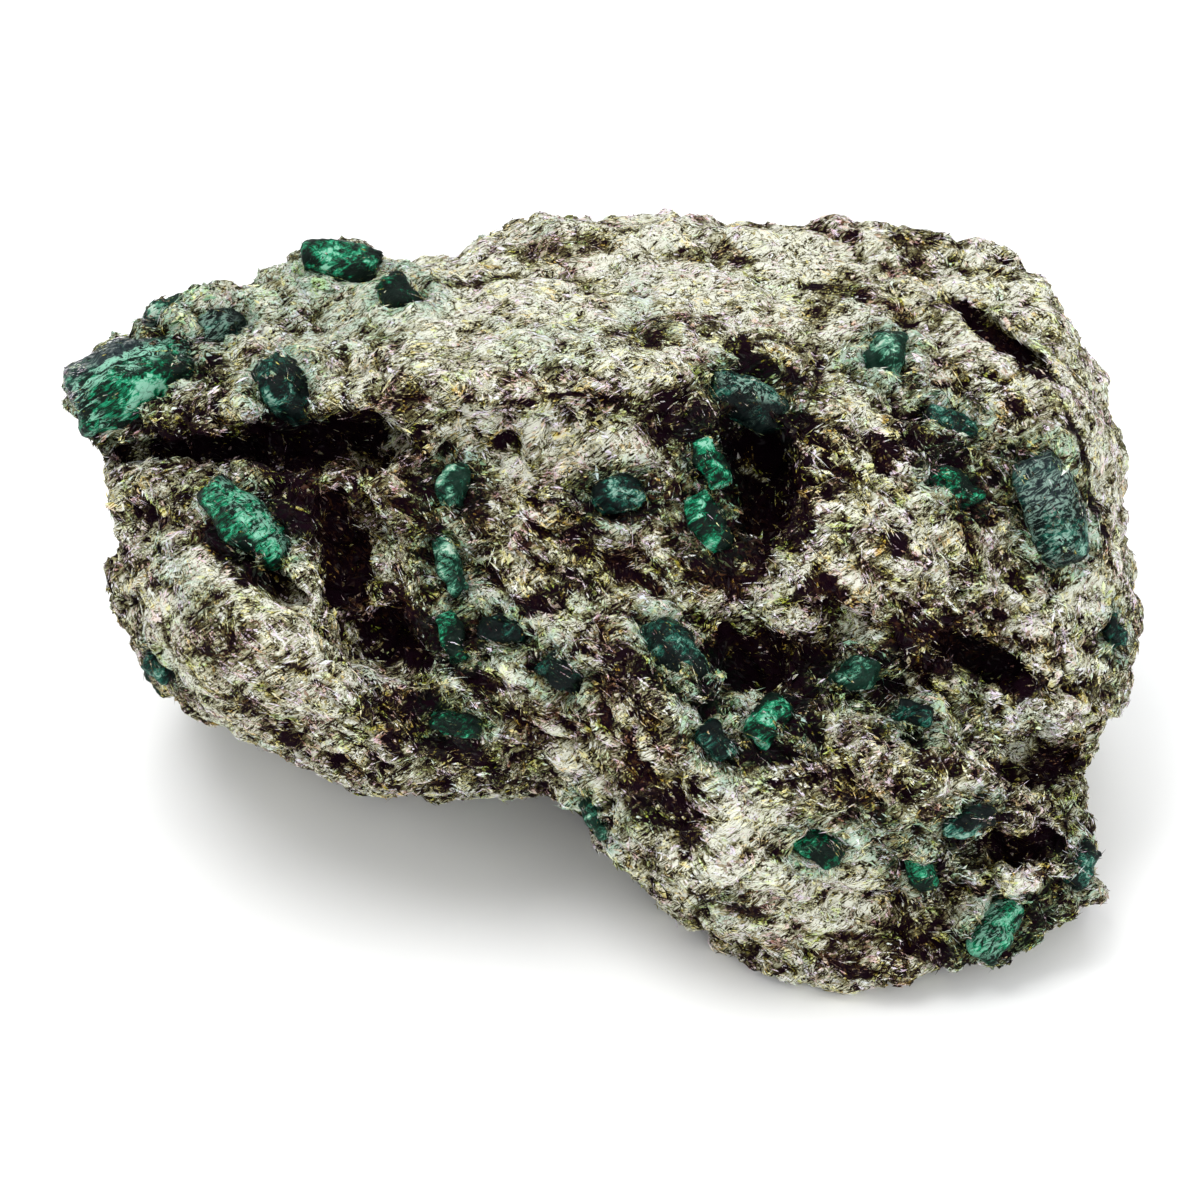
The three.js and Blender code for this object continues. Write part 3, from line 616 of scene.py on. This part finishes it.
def makeStone():
    # the rock fills the crystals' places a little lower than they stand, so that no groove rings them
    shapes = bmesh.new()
    addSolid(shapes, "schist_matrix")
    for nodeName in crystalNames():
        addSolid(shapes, nodeName, bed["swell"])
    mesh = evenNet(shapes, "schist_rock", stone["voxel"])
    crystalTree = solidTree(crystalNames())
    marks = addMarks(mesh, "tone", "green", "warm", "cover", "loose")
    normals = [vertex.normal.copy() for vertex in mesh.vertices]
    for index, vertex in enumerate(mesh.vertices):
        point = vertex.co / mm
        normal = normals[index]
        u, v = onFace(point)
        facing = smoothStep(normal.dot(faceOut), *turnedAway["rock"])
        calm = skinLook["calm"] * patchy("calm", point)
        rough = 1 - skinLook["silky"] * (facing * inZones(smoothZones, u, v) + (1 - facing) * calm)
        height, shade, bulge = schistRelief(point, rough)
        away = crystalTree.find_nearest(vertex.co)[3] / mm
        over = 1 - smoothStep(away, bed["swell"] - 0.05, bed["swell"] + 0.5)
        beside = (1 - over) * (1 - smoothStep(away, bed["swell"], bed["rimWidth"]))
        uneven = noise.noise(point / bed["patch"])
        rise = beside * bed["rim"] * (bed["rimLeast"] + bed["rimPatchy"] * uneven)
        height += rise - over * bed["lower"] * (1.0 - bed["lowerPatchy"] * uneven)
        # the flat face that it rests on stays flat
        onFoot = smoothStep(-normal.z, 0.6, 0.95) * smoothStep(stone["foot"] - point.z, 0.0, 1.2)
        height = (1 - onFoot) * height - onFoot * 0.35 * abs(height)
        moved = point + height * normal
        moved.z = max(moved.z, 0.0)
        vertex.co = moved * mm
        # the pale-and-lit zones paint light onto the show face, and the shade zones paint shade into its
        # hollows
        pale = facing * inZones(paleAndLitZones, u, v)
        marks["tone"][index].value = rockTone(point, shade, pale, facing * inZones(shadeAndDarkMicaZones, u, v))
        marks["cover"][index].value = 1.0 + skinLook["moreOnFace"] * facing
        marks["loose"][index].value = smoothStep(rough, 0.2, 1.05)
        stain = skinLook["stain"] * patchy("stain", point)
        green = facing * inZones(greenZones, u, v)
        marks["green"][index].value = max(green, stain, skinLook["bedStain"] * max(over, beside))
        rust = skinLook["rust"] * patchy("rust", point)
        marks["warm"][index].value = max(facing * inZones(warmZones, u, v), rust)
        marks["grain"][index].vector = wrappedGrain(grainDirection(u, v, point), normal, bulge)
    mesh.shade_smooth()
    piece = addPiece("schist_rock", mesh, schist)
    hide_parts("schist_matrix")
    print("schist:", len(mesh.vertices), "points")
    return piece


rock = makeStone()

# The crystals' net and relief: sizes in mm, and breaks and chunks as shares of a crystal's size.
crystal = {"finest": 0.2, "coarsest": 0.42, "netSteps": 18, "chunk": 0.3, "broken": 0.34, "mostBroken": 0.8,
           "soften": 2, "wave": 0.5, "waveSize": 0.45, "torn": 0.22, "fibre": (2.4, 0.8, 0.8), "lowest": 0.2,
           "clear": 0.2, "film": 0.01}
# Where single crystals are clear, deep, slate-coloured, filmed with white or coated with mica, as zones.
clearZones = [
    (-45.4, 19.6, 5.2, 3.8, 20, 0.6), (-46, 19.4, 2.4, 1.8, 20, 0.8), (11, 12.4, 2, 4, 20, 0.35),
    (10.6, 6.5, 2.5, 3, 0, 0.3), (34.7, 10.2, 3, 2, 0, 0.3), (20.8, -25.4, 3, 3, 0, 0.1),
    (39, -34, 4, 3, 30, 0.15), (-34, 6.5, 5, 3, -40, 0.12), (16.4, -12.6, 3, 3, 0, 0.2),
    (44.8, 5.5, 3, 3, 0, 0.12), (-14.7, 2.3, 2, 4, 0, 0.2), (-26, 33, 3, 2, 0, 0.1),
]
deepZones = [
    (-41.4, 20.6, 2, 4, 0, 0.4), (-49.4, 22.6, 2, 2.4, 0, 0.25), (15, 16.8, 5, 2.2, 0, 0.3),
    (44, 11, 3, 3, 0, 0.2), (8.6, 12, 1, 3, 0, 0.2), (12.6, 6, 1.2, 3, 0, 0.4),
    (-36.4, 4.6, 1.4, 4, 40, 0.3), (18, -14, 1.6, 2, 0, 0.3),
]
slateZones = [
    (-49.5, 24.4, 5.5, 2.2, 24, 0.9), (-53, 20, 1.6, 5, 0, 0.5), (43.4, 11, 3, 3.4, 10, 0.6),
    (-46, 14.4, 6, 1.2, -8, 0.5),
]
filmZones = [
    (-47.5, 22.4, 6, 1.2, 25, 0.9), (-50.6, 17.4, 1.2, 4.4, 20, 0.9), (-45, 15.8, 5, 1.2, -5, 0.8),
    (-40, 26, 4, 3, 0, 0.6), (44, 8, 4, 6, 0, 0.6), (15, 20.4, 4, 1.6, -20, 0.8),
    (-34, 7.4, 5, 1.6, -46, 0.6), (39, -33.6, 4, 3, 0, 0.6),
]
coatZones = [(-50, 25.4, 6, 1.6, 24, 0.8), (-53, 19, 1.4, 6, -10, 0.8), (-46, 13.4, 8, 1.2, -8, 1.0)]


def slotOf(nodeName):
    parts = frame["record"]["subparts"]
    return next(part["material_slot"] for part in parts if part["node"] == nodeName)


def brokenBarrel(nodeName, size, centre):
    # a broken barrel: uneven flat faces, then fine torn fibres along the grain
    shapes = bmesh.new()
    addSolid(shapes, nodeName)
    bmesh.ops.triangulate(shapes, faces=shapes.faces)
    bmesh.ops.subdivide_edges(shapes, edges=shapes.edges, cuts=1, use_grid_fill=True)
    for vertex in shapes.verts:
        shift = noise.noise_vector(vertex.co / mm / (crystal["chunk"] * size) + centre)
        vertex.co += min(crystal["broken"] * size, crystal["mostBroken"]) * mm * shift
    voxel = min(crystal["coarsest"], max(crystal["finest"], size / crystal["netSteps"]))
    mesh = evenNet(shapes, nodeName + "_gem", voxel)
    shapes = bmesh.new()
    shapes.from_mesh(mesh)
    for _ in range(crystal["soften"] + round(size / 2)):
        bmesh.ops.smooth_vert(shapes, verts=shapes.verts, factor=0.5, use_axis_x=True, use_axis_y=True,
                              use_axis_z=True)
    shapes.normal_update()
    offsets = []
    for vertex in shapes.verts:
        point = vertex.co / mm
        wave = noise.noise(point / (crystal["waveSize"] * size) + centre)
        torn = 1 - 2 * abs(noise.noise(alongGrain(point, crystal["fibre"])))
        height = crystal["wave"] * wave * size / 6 + crystal["torn"] * torn
        offsets.append(vertex.normal * (height * mm))
    for vertex, offset in zip(shapes.verts, offsets):
        vertex.co += offset
        vertex.co.z = max(vertex.co.z, crystal["lowest"] * mm)
    shapes.to_mesh(mesh)
    shapes.free()
    return mesh


def makeCrystal(nodeName):
    low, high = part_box(nodeName)
    size = (high - low).length / mm / math.sqrt(3)
    mesh = brokenBarrel(nodeName, size, (low + high) / 2 / mm)
    marks = addMarks(mesh, "clear", "slate", "film")
    for index, vertex in enumerate(mesh.vertices):
        u, v = onFace(vertex.co / mm)
        facing = smoothStep(vertex.normal.dot(faceOut), *turnedAway["crystal"])
        clear = inZones(clearZones, u, v) - inZones(deepZones, u, v)
        marks["clear"][index].value = crystal["clear"] + facing * clear
        marks["slate"][index].value = facing * inZones(slateZones, u, v)
        marks["film"][index].value = crystal["film"] + facing * inZones(filmZones, u, v)
    mesh.shade_smooth()
    slotName = slotOf(nodeName)
    piece = addPiece(nodeName + "_gem", mesh, emeralds[slotName.split("_")[1]])
    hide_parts(nodeName)
    return piece


gems = [makeCrystal(name) for name in crystalNames()]
print("emeralds:", len(gems))


# How much mica clings to a crystal at its edge, in patches and where it is coated, and how that mica looks.
clinging = {"edge": 0.75, "patch": 0.1, "coat": 1.5, "loose": 0.6, "tone": 0.2, "toneNoise": 0.5,
            "coatTone": 0.7, "coatGreen": 0.8}


def makeGemSkin():
    # the crystals' skins in one mesh, marked with where mica clings to them
    shapes = bmesh.new()
    for gem in gems:
        shapes.from_mesh(gem.data)
    mesh = bpy.data.meshes.new("gem_skin")
    shapes.to_mesh(mesh)
    shapes.free()
    mesh.attributes.remove(mesh.attributes["grain"])
    marks = addMarks(mesh, "tone", "green", "warm", "cover", "loose")
    rockTree = BVHTree.FromObject(rock, bpy.context.evaluated_depsgraph_get())
    for index, vertex in enumerate(mesh.vertices):
        point = vertex.co / mm
        u, v = onFace(point)
        spot, normal, _, _ = rockTree.find_nearest(vertex.co)
        stands = (vertex.co - spot).dot(normal) / mm
        patch = clinging["patch"] * smoothStep(noise.noise(point / 1.6), 0.05, 0.35)
        edge = clinging["edge"] * (1 - smoothStep(stands, 0.2, 1.0 + 0.6 * noise.noise(point / 2.2)))
        coat = inZones(coatZones, u, v)
        marks["cover"][index].value = 0.0 if stands < 0 else max(edge, patch, clinging["coat"] * coat)
        marks["loose"][index].value = clinging["loose"]
        tone = clinging["tone"] + clinging["toneNoise"] * noise.noise(point / 2.0)
        marks["tone"][index].value = tone + clinging["coatTone"] * coat
        marks["green"][index].value = 1.0 - clinging["coatGreen"] * coat
        marks["grain"][index].vector = grainDirection(u, v, point)
    return bpy.data.objects.new("gem_skin", mesh)


gemSkin = makeGemSkin()

# Each kind of flake: how many, its half length and half width in mm, how much those vary, how high it stands,
# how far it tilts off the surface and strays off the grain, in radians, its sides and its finish.
micaKinds = {
    "mica_silver": {
        "count": 30000, "half": (0.60, 0.20), "vary": 0.5, "high": 0.15, "tilt": 0.34, "stray": 0.5,
        "sides": 4, "seed": 11, "finish": "silver"},
    "mica_silver_fine": {
        "count": 30000, "half": (0.44, 0.15), "vary": 0.5, "high": 0.12, "tilt": 0.55, "stray": 0.9,
        "sides": 4, "seed": 12, "finish": "silver"},
    "mica_olive": {
        "count": 30000, "half": (0.58, 0.19), "vary": 0.5, "high": 0.15, "tilt": 0.38, "stray": 0.6,
        "sides": 4, "seed": 13, "finish": "olive"},
    "mica_dark": {
        "count": 22000, "half": (0.60, 0.24), "vary": 0.5, "high": 0.15, "tilt": 0.6, "stray": 1.0,
        "sides": 4, "seed": 14, "finish": "dark"},
    "mica_plates": {
        "count": 1000, "half": (0.9, 0.4), "vary": 0.5, "high": 0.14, "tilt": 0.24, "stray": 0.4,
        "sides": 6, "seed": 16, "finish": "olive"},
    "mica_streaks": {
        "count": 36000, "half": (1.0, 0.07), "vary": 0.6, "high": 0.08, "tilt": 0.16, "stray": 0.2,
        "sides": 3, "seed": 15, "finish": "streak"},
}
filmKinds = {
    "mica_film": {
        "count": 5500, "half": (0.42, 0.13), "vary": 0.5, "high": 0.07, "tilt": 0.3, "stray": 0.8,
        "sides": 4, "seed": 21, "finish": "silver"},
    "mica_film_streaks": {
        "count": 4500, "half": (0.95, 0.08), "vary": 0.6, "high": 0.06, "tilt": 0.15, "stray": 0.35,
        "sides": 3, "seed": 22, "finish": "streak"},
}
silverTones = [(0.090, 0.073, 0.022), (0.31, 0.30, 0.20), (0.57, 0.575, 0.52), (0.76, 0.785, 0.80)]
oliveTones = [(0.058, 0.043, 0.011), (0.23, 0.20, 0.072), (0.46, 0.435, 0.25), (0.68, 0.67, 0.53)]
darkTones = [(0.011, 0.006, 0.004), (0.036, 0.025, 0.009), (0.105, 0.087, 0.038), (0.32, 0.29, 0.20)]
streakTones = [(0.075, 0.062, 0.026), (0.38, 0.38, 0.29), (0.68, 0.69, 0.65), (0.81, 0.835, 0.85)]
# Tones, roughness, specular level, spread of the flakes' shades and strength of the few bright painted
# glints.
micaFinishes = {
    "silver": micaMaterial("mica silver", silverTones, 0.4, 0.12, 0.45, 0.4),
    "olive": micaMaterial("mica olive", oliveTones, 0.45, 0.08, 0.5, 0.3),
    "dark": micaMaterial("mica dark", darkTones, 0.35, 0.06, 0.8, 0.45),
    "streak": micaMaterial("mica streak", streakTones, 0.42, 0.12, 1.1, 0.0),
}
flake = {"peak": Vector((0.3, 0.2, 0.0)), "sunk": 0.15, "widths": (0.6, 1.4)}
# Where a flake's slopes and base start on its square of the map, and how much of the square they take.
flakeMap = {"slopes": 0.02, "base": 0.52, "foot": 0.04, "across": 0.23, "up": 0.46}


def flakeShape(name, sides):
    # a flat chip: a low pyramid on a pointed base, with its peak off centre
    chip = bmesh.new()
    bmesh.ops.create_cone(chip, cap_ends=True, cap_tris=False, segments=sides, radius1=1.0, radius2=0.0,
                          depth=1.0)
    peak = max(chip.verts, key=lambda vertex: vertex.co.z)
    peak.co += flake["peak"]
    bmesh.ops.translate(chip, vec=(0, 0, -flake["sunk"]), verts=chip.verts)
    # its map: the slopes lie in the left half and the base in the right
    chipMap = chip.loops.layers.uv.new("OFBake")
    for side in chip.faces:
        start = flakeMap["base" if side.normal.z < 0 else "slopes"]
        for corner in side.loops:
            across, up, _ = corner.vert.co
            corner[chipMap].uv = (start + flakeMap["across"] * (across + 1),
                                  flakeMap["foot"] + flakeMap["up"] * (up + 1))
    mesh = bpy.data.meshes.new(name)
    chip.to_mesh(mesh)
    chip.free()
    onChip = mesh.attributes.new("chip", "FLOAT_VECTOR", "POINT")
    for vertex, spot in zip(mesh.vertices, onChip.data):
        spot.vector = vertex.co
    chipObject = bpy.data.objects.new(name, mesh)
    bpy.context.scene.collection.objects.link(chipObject)
    return chipObject


class Fields:
    # short ways to add Geometry Nodes
    def __init__(self, name):
        self.tree = bpy.data.node_groups.new(name, "GeometryNodeTree")
        self.tree.interface.new_socket("Geometry", in_out="INPUT", socket_type="NodeSocketGeometry")
        self.tree.interface.new_socket("Geometry", in_out="OUTPUT", socket_type="NodeSocketGeometry")
        self.start = self.tree.nodes.new("NodeGroupInput").outputs[0]
        self.end = self.tree.nodes.new("NodeGroupOutput").inputs[0]

    def put(self, value, socket):
        if isinstance(value, bpy.types.NodeSocket):
            self.tree.links.new(value, socket)
        else:
            socket.default_value = value

    def add(self, kind, settings=None, **inputs):
        node = self.tree.nodes.new(kind)
        for key, value in (settings or {}).items():
            setattr(node, key, value)
        for key, value in inputs.items():
            self.put(value, node.inputs[key])
        return node

    def random(self, low, high, seed):
        node = self.add("FunctionNodeRandomValue", {"data_type": "FLOAT"}, Seed=seed)
        node.inputs[2].default_value = low
        node.inputs[3].default_value = high
        return node.outputs[1]

    def math(self, operation, first, second=1.0):
        node = self.add("ShaderNodeMath", {"operation": operation})
        self.put(first, node.inputs[0])
        self.put(second, node.inputs[1])
        return node.outputs[0]

    def vector(self, x, y, z):
        return self.add("ShaderNodeCombineXYZ", X=x, Y=y, Z=z).outputs[0]

    def named(self, name, kind="FLOAT"):
        return self.add("GeometryNodeInputNamedAttribute", {"data_type": kind}, Name=name).outputs[0]


def flakeTurns(f, kind, normal):
    # lie on the surface, then turn along the grain, then tilt and stray
    lie = f.add("FunctionNodeAlignRotationToVector", {"axis": "Z"}, Vector=normal)
    turn = f.add("FunctionNodeAlignRotationToVector", {"axis": "X", "pivot_axis": "Z"},
                 Rotation=lie.outputs[0], Vector=f.named("grain", "FLOAT_VECTOR"))
    loose = f.named("loose")
    limits = ((1, kind["tilt"]), (2, kind["tilt"]), (3, kind["stray"]))
    tilts = [f.random(-limit, limit, seed) for seed, limit in limits]
    tilts = f.vector(*[f.math("MULTIPLY", tilt, loose) for tilt in tilts])
    wobble = f.add("FunctionNodeEulerToRotation", Euler=tilts)
    turned = f.add("FunctionNodeRotateRotation", {"rotation_space": "LOCAL"}, Rotation=turn.outputs[0])
    f.tree.links.new(wobble.outputs[0], turned.inputs[1])
    return turned.outputs[0]


def flakeSizes(f, kind):
    halfLength, halfWidth = kind["half"]
    length = f.math("MULTIPLY", f.random(1 - kind["vary"], 1 + kind["vary"], 4), halfLength * mm)
    width = f.math("MULTIPLY", f.random(*flake["widths"], 5), halfWidth * mm)
    return f.vector(length, width, kind["high"] * mm)


def ownSquare(f, count):
    # every flake has a square of the map to itself
    rows = math.ceil(math.sqrt(1.1 * count))
    place = f.named("place")
    square = f.vector(f.math("MODULO", place, rows), f.math("FLOOR", f.math("DIVIDE", place, rows)), 0.0)
    within = f.add("ShaderNodeVectorMath", {"operation": "ADD"})
    f.put(f.named("OFBake", "FLOAT_VECTOR"), within.inputs[0])
    f.put(square, within.inputs[1])
    whole = f.add("ShaderNodeVectorMath", {"operation": "SCALE"}, Scale=1 / rows)
    f.put(within.outputs[0], whole.inputs[0])
    return whole.outputs[0]


def scatterTree(name, kind, shape, area):
    f = Fields(name)
    density = f.math("MULTIPLY", f.named("cover"), kind["count"] / area)
    spread = f.add("GeometryNodeDistributePointsOnFaces", {"distribute_method": "RANDOM"}, Mesh=f.start,
                   Density=density, Seed=kind["seed"])
    turns = flakeTurns(f, kind, spread.outputs["Normal"])
    sizes = flakeSizes(f, kind)
    chip = f.add("GeometryNodeObjectInfo", Object=shape)
    laid = f.add("GeometryNodeInstanceOnPoints", Points=spread.outputs["Points"],
                 Instance=chip.outputs["Geometry"], Rotation=turns, Scale=sizes)
    perFlake = {"data_type": "FLOAT", "domain": "INSTANCE"}
    mark = f.add("GeometryNodeStoreNamedAttribute", perFlake, Geometry=laid.outputs[0], Name="draw",
                 Value=f.random(0.0, 1.0, 6))
    place = f.add("GeometryNodeStoreNamedAttribute", perFlake, Geometry=mark.outputs[0], Name="place",
                  Value=f.add("GeometryNodeInputIndex").outputs[0])
    real = f.add("GeometryNodeRealizeInstances", Geometry=place.outputs[0])
    mapped = f.add("GeometryNodeStoreNamedAttribute", {"data_type": "FLOAT2", "domain": "CORNER"},
                   Geometry=real.outputs[0], Name="OFBake", Value=ownSquare(f, kind["count"]))
    f.tree.links.new(mapped.outputs[0], f.end)
    return f.tree


def coveredArea(mesh):
    cover = mesh.attributes["cover"].data
    return sum(polygon.area * cover[polygon.vertices[0]].value for polygon in mesh.polygons)


def makeMica(name, kind, host):
    shape = flakeShape(name + "_chip", kind["sides"])
    holder = host.copy()
    bpy.context.scene.collection.objects.link(holder)
    scatter = holder.modifiers.new("scatter", "NODES")
    scatter.node_group = scatterTree(name + "_scatter", kind, shape, coveredArea(host.data))
    mesh = appliedMesh(holder, name)
    bpy.data.objects.remove(holder)
    bpy.data.objects.remove(shape)
    mesh.shade_flat()
    for vertex in mesh.vertices:
        vertex.co.z = max(vertex.co.z, 0.0)
    piece = addPiece(name, mesh, micaFinishes[kind["finish"]])
    print(name, len(mesh.polygons), "faces")
    return piece


mica = [makeMica(name, kind, rock) for name, kind in micaKinds.items()]
mica += [makeMica(name, kind, gemSkin) for name, kind in filmKinds.items()]
bpy.data.objects.remove(gemSkin)

stage = {"floor": 6.0, "sky": 1.0, "skyTint": (0.97, 0.985, 1.0, 1.0)}
lamps = [
    # name, azimuth, elevation, distance, size, watts
    ("key", -60, 72, 0.9, 0.5, 4),
    ("front", 20, 22, 1.0, 0.9, 3.4),
    ("fill", 60, 35, 1.0, 0.8, 1),
    ("back", 165, 50, 0.9, 0.6, 1.5),
]
# The camera looks straight at the show face: metres away, metres of it in the frame, and mm below its middle.
camera = {"distance": 1.0, "frame": 0.12, "low": 1.0, "sensor": 36, "near": 0.01, "far": 20}


def makeFloor():
    plane = bmesh.new()
    bmesh.ops.create_grid(plane, x_segments=1, y_segments=1, size=stage["floor"] / 2)
    mesh = bpy.data.meshes.new("floor")
    plane.to_mesh(mesh)
    plane.free()
    floor = bpy.data.objects.new("floor", mesh)
    bpy.context.scene.collection.objects.link(floor)
    mesh.materials.append(floorMaterial())


def direction(azimuth, elevation):
    turn, rise = math.radians(azimuth), math.radians(elevation)
    return Vector((math.sin(turn) * math.cos(rise), -math.cos(turn) * math.cos(rise), math.sin(rise)))


def makeLights():
    world = bpy.data.worlds.new("studio")
    bpy.context.scene.world = world
    world.use_nodes = True
    background = world.node_tree.nodes["Background"]
    background.inputs["Color"].default_value = stage["skyTint"]
    background.inputs["Strength"].default_value = stage["sky"]
    middle = face["centre"] * mm
    for name, azimuth, elevation, distance, size, watts in lamps:
        lamp = bpy.data.lights.new(name, "AREA")
        lamp.shape = "DISK"
        lamp.size = size
        lamp.energy = watts
        holder = bpy.data.objects.new(name, lamp)
        back = direction(azimuth, elevation)
        holder.location = middle + distance * back
        holder.rotation_euler = back.to_track_quat("Z", "Y").to_euler()
        bpy.context.scene.collection.objects.link(holder)


def makeCamera():
    data = bpy.data.cameras.new("camera")
    data.sensor_width = camera["sensor"]
    data.lens = camera["sensor"] * camera["distance"] / camera["frame"]
    data.clip_start, data.clip_end = camera["near"], camera["far"]
    holder = bpy.data.objects.new("camera", data)
    aim = (face["centre"] - camera["low"] * faceUp) * mm
    holder.location = aim + camera["distance"] * faceOut
    holder.rotation_euler = faceOut.to_track_quat("Z", "Y").to_euler()
    bpy.context.scene.collection.objects.link(holder)
    bpy.context.scene.camera = holder


makeFloor()
makeLights()
makeCamera()
bpy.context.scene.view_settings.view_transform = "Standard"
print("stage ready")
facesIn = {piece.name: sum(len(polygon.vertices) - 2 for polygon in piece.data.polygons)
           for piece in bpy.context.scene.objects if piece.type == "MESH"}
print("triangles:", sum(facesIn.values()), "most:", max(facesIn.values()))
